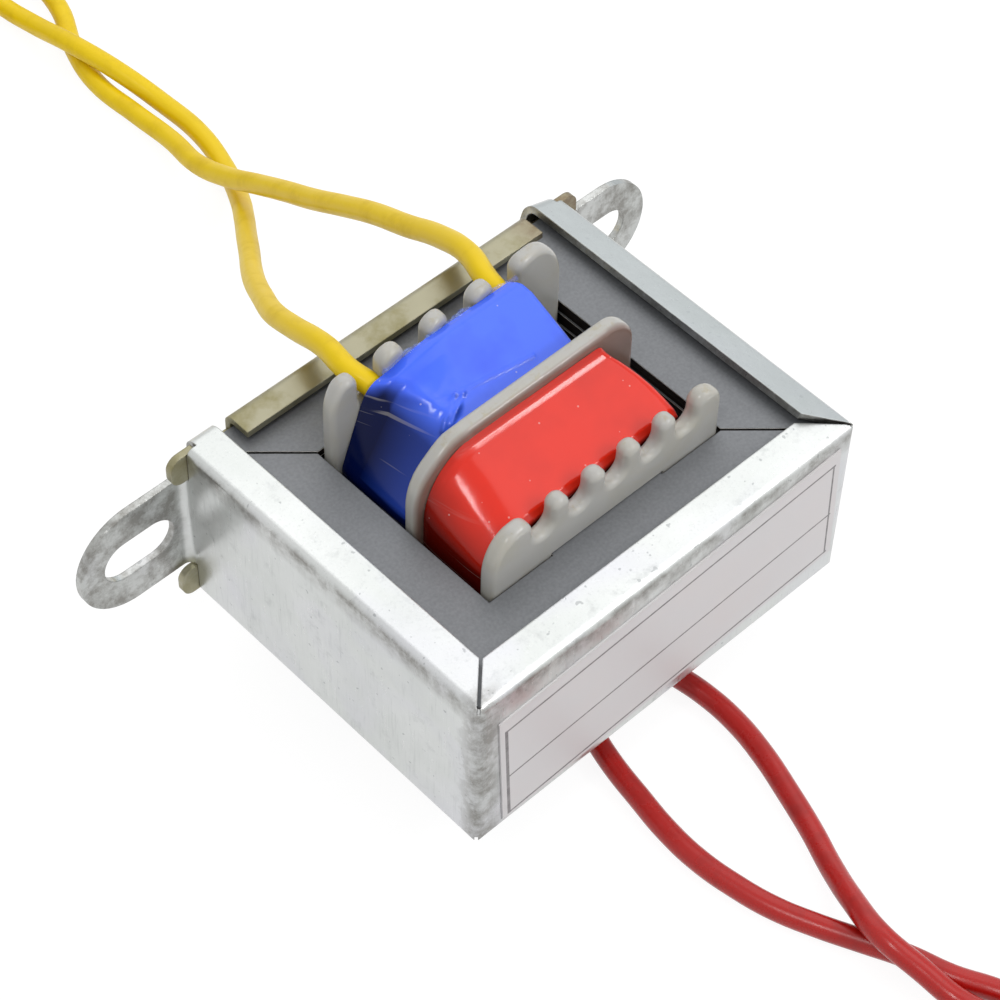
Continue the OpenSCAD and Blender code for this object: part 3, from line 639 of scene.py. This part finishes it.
class TRANSFORMER_OT_bobbin(bpy.types.Operator):
    """Build the bobbin with its rounded comb flanges"""
    bl_idname = "transformer.bobbin"
    bl_label = "Bobbin"

    def execute(self, context):
        s = settings().bobbin
        low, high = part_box("bobbin")
        half_w = (high[0] - low[0]) / 2
        core = (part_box("back_plates_odd"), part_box("back_plates_even"))
        core_z = min(b[0][2] for b in core)
        half_h = (max(b[1][2] for b in core) - core_z) / 2
        mid_z = core_z + half_h

        def oblong(wall):
            half_x, half_z = s.bore_w / 2 + wall, s.bore_h / 2 + wall
            return [(-half_x, -half_z), (-half_x, half_z), (half_x, half_z), (half_x, -half_z)]

        def comb(height, floor, count, pitch, off, notch, *posts):
            centres = [off + pitch * (i - (count - 1) / 2) for i in range(count)]
            feet = ((s.post_r, s.post_r),) * 2

            def outline(inset):
                upper, lower = (
                    comb_half(half_w, half_h + top, half_h + root + notch / 2, centres, notch, ends, s.tooth_r, inset)
                    for top, root, ends in ((height, floor, posts), (s.foot_h, s.lead_floor, feet)))
                return upper + below(lower)

            return outline

        def middle(inset):
            upper, lower = (plain_half(half_w, s.middle_short, half_h + top, s.middle_left, s.middle_right, inset)
                            for top in (s.middle_h, s.foot_h))
            return upper + below(lower)

        front = comb(s.front_h, s.front_floor, FRONT_NOTCHES, s.front_pitch, s.front_off, s.front_notch,
                     s.front_left, s.front_right)
        back = comb(s.back_h, s.lead_floor, BACK_NOTCHES, s.back_pitch, s.back_off, s.back_notch,
                    s.back_left, s.back_right)
        bore, tube = oblong(0.0), oblong(s.wall)
        flanges = ((front, low[1]), (back, high[1] - s.flange), (middle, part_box("primary_tape")[1][1] + PLAY))
        bm = bmesh.new()
        for outline, y in flanges:
            add_flange(bm, outline, y, s.flange, s.edge, bore, mid_z)
        for v in bm.verts:
            above = max(0.0, v.co.z - mid_z - half_h - s.front_floor)
            v.co.y += above / LEAN_HEIGHT * s.lean * ripple(v.co.x * 520, v.co.y * 60, 3.0)
        ends = (low[1] + s.flange / 2, high[1] - s.flange / 2)
        outer = [loop_of(bm, tube, y, mid_z) for y in ends]
        inner = [loop_of(bm, bore, y, mid_z) for y in ends]
        bridge(bm, outer[0], outer[1])
        bridge(bm, inner[1], inner[0])
        bridge(bm, outer[1], inner[1])
        bridge(bm, inner[0], outer[0])
        new_piece("bobbin_moulding", closed_mesh(bm, "bobbin_moulding"), moulded_nylon(settings().colours.nylon),
                  "moulded_nylon", "bobbin")
        return {"FINISHED"}


def wrap_section(half_w, half_h, left_r, right_r):
    """Section of a wrap: points with their outward directions, clockwise from the top right corner."""
    corners = ((half_w - right_r, half_h - right_r, right_r, 90, 0),
               (half_w - right_r, right_r - half_h, right_r, 0, -90),
               (left_r - half_w, left_r - half_h, left_r, -90, -180),
               (left_r - half_w, half_h - left_r, left_r, 180, 90))
    round_steps, flat_steps = 16, 80
    section = []
    for i, (x, z, r, start, end) in enumerate(corners):
        for px, pz in arc(x, z, r, start, end, round_steps):
            section.append((px, pz, (px - x) / r, (pz - z) / r))
        nx, nz, nr, _, _ = corners[(i + 1) % 4]
        side = Vector((math.cos(math.radians(end)), math.sin(math.radians(end))))
        begin, stop = Vector((x, z)) + side * r, Vector((nx, nz)) + side * nr
        for k in range(1, flat_steps):
            at = begin.lerp(stop, k / flat_steps)
            section.append((at.x, at.y, side.x, side.y))
    return section


# Share of a wrap's width at which its left profile has faded out, and over which it fades
LEFT_ENDS, LEFT_FADES = 0.4, 0.35


def rise_at(rises, share, v):
    """Rise of a wrap's top at a share of its width, from its profile on the left and the one beyond."""
    left, beyond = (value_at(profile, v) for profile in rises)
    return beyond + (left - beyond) * smooth((LEFT_ENDS - share) / LEFT_FADES)


# Rows of a wrap from front to back, how far its closed ends tuck in, and its crumpled patch's radius in millimetres
WRAP_ROWS, TUCK, PATCH = 56, 0.35 * MM, 0.9
# Counts per metre of the soft wrinkles, about 3 mm apart, and of the crumples
WRINKLES, CRUMPLES = (260, 420, 260), (1100, 2600)


def wrap_mesh(name, node, tape, left_r, rises, slack, slant=None, creases=(), crumple_at=None, inset=0.0):
    """A wrap lofted round the tube, with its top's rise and fall, a leaning side, creases and a crumpled patch."""
    low, high = (Vector(corner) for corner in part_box(node))
    front, deep = low[1], high[1] - low[1]
    low += Vector((inset, inset, inset))
    high -= Vector((inset, inset, inset))
    wide = high[0] - low[0]
    mid_z, half_h = (high[2] + low[2]) / 2, (high[2] - low[2]) / 2
    section = wrap_section(wide / 2, half_h, left_r - inset, tape.right_r - inset)
    bm = bmesh.new()
    rings = []
    for j in range(-1, WRAP_ROWS + 2):
        y = low[1] + (high[1] - low[1]) * clamp(j / WRAP_ROWS)
        v = (y - front) / deep
        ring = []
        for px, pz, nx, nz in section:
            share = 0.5 + px / wide
            x = low[0] + wide * share * (1 - value_at(slack, v) * MM / wide)
            z = mid_z + pz + rise_at(rises, share, v) * MM * clamp((pz - half_h) / tape.fade + 1)
            top = max(0.0, nz)
            if slant:
                x += value_at(slant, v) * max(0.0, z - tape.slant_z) * (1 - share)
            out = tape.wrinkle * ripple(x * WRINKLES[0], y * WRINKLES[1], z * WRINKLES[2])
            out -= tape.crown * (1 - top) * (2 * v - 1) ** 4
            for x0, y0, x1, y1, width, height in creases:
                along = Vector((x1 - x0, y1 - y0))
                off = Vector((x / MM - x0, y / MM - y0))
                t = clamp(off.dot(along) / along.length_squared)
                out += top * height * MM * math.exp(-((off - along * t).length / width) ** 2)
            if crumple_at:
                near = math.hypot(x / MM - crumple_at[0], y / MM - crumple_at[1])
                bump = ripple(x * CRUMPLES[0], y * CRUMPLES[1], 2.0)
                out += top * tape.crumple * math.exp(-(near / PATCH) ** 2) * bump
            if j in (-1, WRAP_ROWS + 1):
                out -= TUCK
            ring.append(bm.verts.new((x + nx * out, y, z + nz * out)))
        rings.append(ring)
    for first, second in zip(rings, rings[1:]):
        bridge(bm, first, second)
    bm.faces.new(rings[0])
    bm.faces.new(list(reversed(rings[-1])))
    return closed_mesh(bm, name)


# Where the loose film starts inside the wrap's left side, how much narrower than the wrap it is, and how far it tucks
# under the wrap's back edge and top
FILM_START, FILM_SHORT, FILM_UNDER, FILM_SUNK = 3.2 * MM, 4.6 * MM, 0.15 * MM, 0.1 * MM
FILM_SWAY = 0.12 * MM
# Its reach as shares of the film's, at least, as a rule and its spread; then how far it lies back, climbs and bends
FILM_LEAST, FILM_USUAL, FILM_SPREAD = 0.12, 0.55, 0.6
FILM_BACK, FILM_CLIMB, FILM_BEND = 0.75, 0.45, 2.2


def film_mesh(name, node, tape, rises):
    """Loose film along the back edge of a wrap: a thin ragged strip that climbs over the lead notches."""
    low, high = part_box(node)
    wide = high[0] - low[0]
    columns, rows = 160, 5
    bm = bmesh.new()
    grid = []
    for i in range(columns + 1):
        x = low[0] + FILM_START + (wide - FILM_SHORT) * i / columns
        ragged = ripple(x * 700, 1.0, 0.0) + 0.5 * ripple(x * 2600, 4.0, 0.0)
        reach = tape.film * max(FILM_LEAST, FILM_USUAL + FILM_SPREAD * ragged)
        foot = high[2] + rise_at(rises, (x - low[0]) / wide, 1.0) * MM - FILM_SUNK
        column = []
        for k in range(rows + 1):
            t = k / rows
            y = high[1] - FILM_UNDER + reach * FILM_BACK * t + FILM_SWAY * ripple(x * 900, t * 2, 9.0)
            column.append(bm.verts.new((x, y, foot + reach * FILM_CLIMB * math.sin(t * FILM_BEND))))
        grid.append(column)
    for first, second in zip(grid, grid[1:]):
        for k in range(rows):
            bm.faces.new((first[k], second[k], second[k + 1], first[k + 1]))
    return closed_mesh(bm, name)


# Profiles of a wrap's top from front to back, on its left and beyond: place, and rise in millimetres
RED_TOP = ((0.0, -1.8), (0.07, -1.4), (0.88, 0.4), (0.95, 0.65), (1.0, 0.95))
RED_RISES = (RED_TOP, RED_TOP)
BLUE_RISES = (((0.0, -0.7), (0.27, 0.0), (0.87, 0.9), (1.0, 0.55)),
              ((0.0, -0.7), (0.27, 0.0), (0.86, 1.5), (0.92, 1.45), (1.0, 1.2)))
# How far the right side lies inside the winding's box, from front to back, in millimetres
RED_SLACK = ((0.0, -0.22), (0.24, -0.09), (0.43, 0.04), (0.57, 0.19), (0.7, 0.38), (0.82, 0.6), (1.0, 1.05))
BLUE_SLACK = ((0.0, 1.26), (0.75, 1.28), (1.0, 1.6))
# Lean of the blue wrap's left side, from front to back
BLUE_SLANT = ((0.0, 0.85), (0.75, 0.58), (1.0, 0.36))
# Creases: both ends across and along, width and height, in millimetres
RED_FOLDS = ((-7.2, -1.4, -6.6, -5.8, 0.25, 0.03),)
BLUE_FOLDS = ((-4.7, 1.1, -2.9, 2.1, 0.16, 0.14), (-4.2, 1.0, -2.5, 1.9, 0.14, 0.12),
              (-2.9, 2.1, 2.4, 1.45, 0.13, 0.07), (-5.6, 5.0, -3.9, 2.1, 0.3, 0.05))
# Middle of the blue wrap's crumpled patch, in millimetres
BLUE_CRUMPLE = (-3.2, 1.7)


class TRANSFORMER_OT_tapes(bpy.types.Operator):
    """Build the two windings in their film tape"""
    bl_idname = "transformer.tapes"
    bl_label = "Windings and tapes"

    def execute(self, context):
        tape, colours = settings().tape, settings().colours
        # The third colour of each film is painted shade on its sides
        red = film_tape("red_film_tape", colours.red_tape, "#c01c08", "#5a0a03", 0.8, 0.1)
        blue = film_tape("blue_film_tape", colours.blue_tape, "#1d3bd2", "#04103f", 0.85, 0.5)
        wire = enamelled_wire(colours.copper)
        # Each winding: its name, shape, film, slot, creases and crumpled patch
        red_shape = (tape.red_r, RED_RISES, RED_SLACK, None)
        blue_shape = (tape.blue_r, BLUE_RISES, BLUE_SLACK, BLUE_SLANT)
        windings = (("primary", red_shape, red, "red_tape", RED_FOLDS, None),
                    ("secondary", blue_shape, blue, "blue_tape", BLUE_FOLDS, BLUE_CRUMPLE))
        for name, shape, film, slot, folds, crumple_at in windings:
            wrap = wrap_mesh(name + "_wrap", name + "_tape", tape, *shape, folds, crumple_at)
            new_piece(name + "_wrap", wrap, film, slot, name + "_tape")
        for name, shape, *_ in windings:
            turns = wrap_mesh(name + "_turns", name + "_tape", tape, *shape, inset=tape.build)
            new_piece(name + "_turns", turns, wire, "enamelled_copper", name + "_winding")
        edge = film_mesh("secondary_film", "secondary_tape", tape, BLUE_RISES)
        new_piece("secondary_film", edge, loose_film(colours.blue_tape), "blue_tape")
        return {"FINISHED"}


class TRANSFORMER_OT_label(bpy.types.Operator):
    """Finish the label as an empty ruled table"""
    bl_idname = "transformer.label"
    bl_label = "Label"

    def execute(self, context):
        colours = settings().colours
        finish_node("label", ruled_label_paper(colours.paper, colours.rule))
        return {"FINISHED"}


# Lead routes from the bobbin to the lead coils, in millimetres
YELLOW_LEFT = (
    (-5.2, 5.3, 20.6), (-5.6, 6.3, 21.15), (-5.85, 7.5, 21.3), (-5.4, 10, 20.8), (-4.8, 13.4, 19.1),
    (-3.8, 16.6, 17), (-2.2, 19.6, 14.7), (-0.5, 22.5, 12.4), (1.4, 25.3, 10.1), (3.4, 28, 7.9), (5.4, 30.8, 5.8),
    (7.5, 33.7, 3.8), (9.5, 36.7, 2), (11.2, 40.2, 0.95), (12.2, 44.2, 0.78), (12.2, 48.2, 0.8), (11.2, 52.1, 1.9),
    (10.3, 55.9, 2.3), (10.2, 59.9, 1.3), (10, 63.8, 0.8), (10, 67.2, 0.9),
)
YELLOW_RIGHT = (
    (4.25, 4.8, 20.6), (4.3, 6.1, 21.1), (4.4, 7.3, 21.3), (5.3, 9.8, 20.8), (6.1, 13.2, 19.1), (6.6, 16.6, 17),
    (7.1, 20.1, 15), (7.5, 23.5, 12.8), (7.9, 26.9, 10.5), (8.4, 30.3, 8.3), (8.8, 33.7, 6.1), (9, 37.2, 4),
    (9.3, 40.9, 2.3), (10.1, 44.8, 1.2), (10.2, 48.8, 0.7), (10.1, 52.9, 0.7), (11.1, 56.8, 0.7), (12.8, 60.6, 0.8),
    (13.2, 63.8, 1.1), (12.6, 67, 1.7), (11.3, 70.3, 2.2),
)
RED_LEFT = (
    (-2.2, -6.1, 1.5), (-2.2, -7.4, 1.4), (-2.7, -9.6, 1.1), (-3.2, -11.9, 0.8), (-3.6, -14.4, 0.7), (-4, -17, 0.7),
    (-4.1, -19.6, 0.7), (-3.8, -22.2, 0.7), (-3.2, -24.8, 0.7), (-2.2, -27.3, 0.7), (-1.1, -29.6, 0.7),
    (0, -31.9, 0.7), (0.9, -34.5, 0.7), (2.1, -36.9, 0.7), (3, -39.9, 0.8), (3.2, -43.1, 0.9),
)
RED_RIGHT = (
    (3.25, -6.1, 1.5), (3.25, -7.4, 1.4), (3.8, -9.6, 1.1), (4.3, -12, 0.8), (4.3, -14.6, 0.7), (3.8, -17.3, 0.7),
    (3, -20, 0.7), (2.1, -22.7, 0.7), (1, -25.3, 0.9), (-0.1, -27.8, 1.7), (-0.9, -30.5, 2.3), (-0.6, -33.3, 1.8),
    (-0.2, -36.2, 1.3), (0.5, -38.9, 1.9), (1.3, -40.9, 2.3),
)
# Coils: middle on the floor, in millimetres, and the side to which the leads turn
YELLOW_COIL = ((1.3, 72.5), 1)
RED_COIL = ((-5.5, -48.5), -1)
# Along a coil, in degrees: its knots, the outer turn, the step inwards, an upper lead's way in, and the last bend
KNOT, OUTER_TURN, STEP_IN, WAY_IN, LAST_BEND = 24, 300, 60, 40, 45
# How far an upper lead comes in from outside, and the gap between the inner turn and the bared end
OUTSIDE, END_GAP = 0.9 * MM, 0.75 * MM


def coil_points(coil, start, end, layer, lead):
    """Turns of one lead: an outer turn, a step inwards, then an inner turn, down to the bared end."""
    (cx, cy), turn = coil
    outer, inner = lead.coil_r + lead.diameter / 2, lead.coil_r - lead.diameter / 2
    last = lead.coil_r - lead.diameter - END_GAP
    z = lead.tie + (layer + 0.5) * lead.diameter
    span = end - start
    count = round(span / KNOT)
    points = []
    for i in range(count + 1):
        gone = span * i / count
        at = start + gone
        r = outer + (inner - outer) * clamp((gone - OUTER_TURN) / STEP_IN)
        if gone < WAY_IN and layer == 1:
            r += (1 - gone / WAY_IN) ** 2 * OUTSIDE
        r += (last - r) * clamp(1 - (end - at) / LAST_BEND) ** 1.5
        a = math.radians(turn * at)
        points.append((cx * MM + r * math.cos(a), cy * MM + r * math.sin(a), z))
    return points


def lead_curve(name, points, lead):
    """A round lead along one smooth spline."""
    data = bpy.data.curves.new(name, "CURVE")
    data.dimensions = "3D"
    data.bevel_depth = lead.diameter / 2
    data.bevel_resolution = 5
    data.use_fill_caps = True
    data.resolution_u = 6
    spline = data.splines.new("BEZIER")
    spline.bezier_points.add(len(points) - 1)
    for knot, place in zip(spline.bezier_points, points):
        knot.co = place
        knot.handle_left_type = knot.handle_right_type = "AUTO"
    return data


class TRANSFORMER_OT_leads(bpy.types.Operator):
    """Lay the four flying leads, with their coils, ties and tinned ends"""
    bl_idname = "transformer.leads"
    bl_label = "Leads"

    def execute(self, context):
        lead, colours = settings().lead, settings().colours
        yellow = pvc_insulation("yellow_pvc_insulation", colours.yellow, "#c7a400", 0.36, 0.28)
        red = pvc_insulation("red_pvc_insulation", colours.red, "#7f100d", 0.2, 0.4)
        tin = tinned_strands(colours.tin)
        tie = moulded_tie(colours.tie)
        for pair in ("yellow", "red"):
            finish_node(pair + "_tips", tin)
            finish_node(pair + "_tie", tie)
        # Each lead: its route, coil, angles at which its turns start and end, layer, finish, slot and nodes
        runs = (
            ("yellow_left", YELLOW_LEFT, YELLOW_COIL, 0, 700, 0, yellow, "yellow_insulation",
             ("yellow_lead_left", "yellow_coil"), ("yellow_tips", "yellow_tie")),
            ("yellow_right", YELLOW_RIGHT, YELLOW_COIL, 8, 740, 1, yellow, "yellow_insulation",
             ("yellow_lead_right",), ()),
            ("red_left", RED_LEFT, RED_COIL, 0, 580, 0, red, "red_insulation",
             ("red_lead_left", "red_coil"), ("red_tips", "red_tie")),
            ("red_right", RED_RIGHT, RED_COIL, -28, 620, 1, red, "red_insulation", ("red_lead_right",), ()),
        )
        for name, route, coil, start, end, layer, made, slot, nodes, others in runs:
            points = [tuple(v * MM for v in p) for p in route] + coil_points(coil, start, end, layer, lead)
            piece = new_piece(name, lead_curve(name, points, lead), made, slot, *nodes)
            context.view_layer.update()
            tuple(points[0])
            [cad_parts[n] for n in others]
        return {"FINISHED"}


class TRANSFORMER_OT_stage(bpy.types.Operator):
    """Set the floor, the soft light and the camera"""
    bl_idname = "transformer.stage"
    bl_label = "Stage"

    def execute(self, context):
        scene = context.scene
        scene.view_settings.view_transform = "Standard"
        self.floor(scene)
        self.lights(scene)
        self.camera(scene)
        return {"FINISHED"}

    def looked_at(self, add):
        """One for a ray that shows the background to the camera, in a reflection or through a clear piece."""
        path = add("LightPath").outputs
        seen = path["Is Camera Ray"]
        for ray in ("Is Glossy Ray", "Is Transmission Ray"):
            seen = add("Math", {0: seen, 1: path[ray]}, operation="MAXIMUM")
        return seen

    def floor(self, scene):
        """A pale floor that shows white to the camera and keeps the shadow."""
        half_width = 3.0
        bm = bmesh.new()
        bmesh.ops.create_grid(bm, x_segments=1, y_segments=1, size=half_width)
        mesh = bpy.data.meshes.new("floor")
        bm.to_mesh(mesh)
        bm.free()
        floor = bpy.data.objects.new("floor", mesh)
        scene.collection.objects.link(floor)
        made = bpy.data.materials.new("pale_floor")
        add = node_adder(made)
        matt = add("BsdfDiffuse", {"Color": "#f4f4f4"})
        white_share = 0.85
        white = add("Emission", {"Color": (1, 1, 1, 1), "Strength": 1.07})
        share = add("Math", {0: self.looked_at(add), 1: white_share}, operation="MULTIPLY")
        both = add("MixShader", {0: share, 1: matt, 2: white})
        # Clear from below, so that the underside of the part can be looked at
        behind = add("NewGeometry").outputs["Backfacing"]
        sheet = add("MixShader", {0: behind, 1: both, 2: add("BsdfTransparent")})
        add("OutputMaterial", {"Surface": sheet})
        mesh.materials.append(made)

    def lights(self, scene):
        """A white room with softboxes behind, to the left, above and in front."""
        world = bpy.data.worlds.new("white_room")
        scene.world = world
        add = node_adder(world)
        # The room lights from above and is dim near the floor, but looks white
        way = add("SeparateXYZ", {0: add("TexCoord").outputs["Generated"]}).outputs
        above = add("MapRange", {"Value": way["Z"], "To Min": 0.22, "To Max": 0.88})
        glow = add("Math", {0: self.looked_at(add), 1: above}, operation="MAXIMUM")
        back = add("Background", {"Color": (1, 1, 1, 1), "Strength": glow})
        add("OutputWorld", {"Surface": back})
        # Each lamp: direction from the part, distance, width and height in metres, watts
        lamps = (
            ("softbox_back", (0.45, 0.5, 0.75), 0.6, 0.6, 0.6, 0.8),
            ("softbox_left", (-0.45, -0.15, 0.85), 0.55, 0.04, 0.16, 0.45),
            ("softbox_top", (0.43, -0.62, 0.65), 0.55, 0.16, 0.05, 0.5),
            ("softbox_over", (0.43, -0.29, 0.85), 0.6, 0.36, 0.36, 0.5),
            ("softbox_front", (0.2, -0.9, 0.6), 0.7, 0.5, 0.4, 0.55),
        )
        for name, direction, distance, width, height, watts in lamps:
            lamp = bpy.data.lights.new(name, "AREA")
            lamp.shape = "RECTANGLE"
            lamp.size, lamp.size_y = width, height
            lamp.energy = watts
            holder = bpy.data.objects.new(name, lamp)
            way = Vector(direction).normalized()
            holder.location = way * distance
            holder.rotation_euler = way.to_track_quat("Z", "Y").to_euler()
            scene.collection.objects.link(holder)

    def camera(self, scene):
        """A long lens at the picture's angle."""
        s = settings().camera
        data = bpy.data.cameras.new("camera")
        data.sensor_width = 36.0
        data.lens = s.lens
        data.clip_start, data.clip_end = 0.01, 20.0
        back = Vector((math.sin(s.azimuth) * math.cos(s.elevation), -math.cos(s.azimuth) * math.cos(s.elevation),
                       math.sin(s.elevation)))
        right = Vector((0, 0, 1)).cross(back).normalized()
        up = back.cross(right)
        turned = Matrix.Rotation(s.roll, 3, back)
        axes = Matrix((turned @ right, turned @ up, back)).transposed()
        camera = bpy.data.objects.new("camera", data)
        camera.matrix_world = Matrix.Translation(Vector(s.aim) + back * s.distance) @ axes.to_4x4()
        scene.collection.objects.link(camera)
        scene.camera = camera


class TRANSFORMER_PT_panel(bpy.types.Panel):
    """Steps that dress the transformer"""
    bl_idname = "TRANSFORMER_PT_panel"
    bl_label = "Transformer"
    bl_space_type = "VIEW_3D"
    bl_region_type = "UI"
    bl_category = "Transformer"

    def draw(self, context):
        for operator in OPERATORS:
            self.layout.operator(operator.bl_idname)


OPERATORS = (
    TRANSFORMER_OT_stage,
    TRANSFORMER_OT_leads,
    TRANSFORMER_OT_sheet_metal,
    TRANSFORMER_OT_core,
    TRANSFORMER_OT_bobbin,
    TRANSFORMER_OT_tapes,
    TRANSFORMER_OT_label,
)
CLASSES = (BobbinSizes, TapeSizes, LeadSizes, Colours, CameraPlace, TransformerSettings) + OPERATORS + (
    TRANSFORMER_PT_panel,)


def register():
    for item in CLASSES:
        bpy.utils.register_class(item)
    bpy.types.Scene.transformer = PointerProperty(type=TransformerSettings)


def unregister():
    del bpy.types.Scene.transformer
    for item in reversed(CLASSES):
        bpy.utils.unregister_class(item)


def main():
    register()
    bpy.ops.transformer.stage()
    bpy.ops.transformer.leads()
    bpy.ops.transformer.sheet_metal()
    bpy.ops.transformer.core()
    bpy.ops.transformer.bobbin()
    bpy.ops.transformer.tapes()
    bpy.ops.transformer.label()
    bpy.context.view_layer.update()


if __name__ == "__main__":
    main()
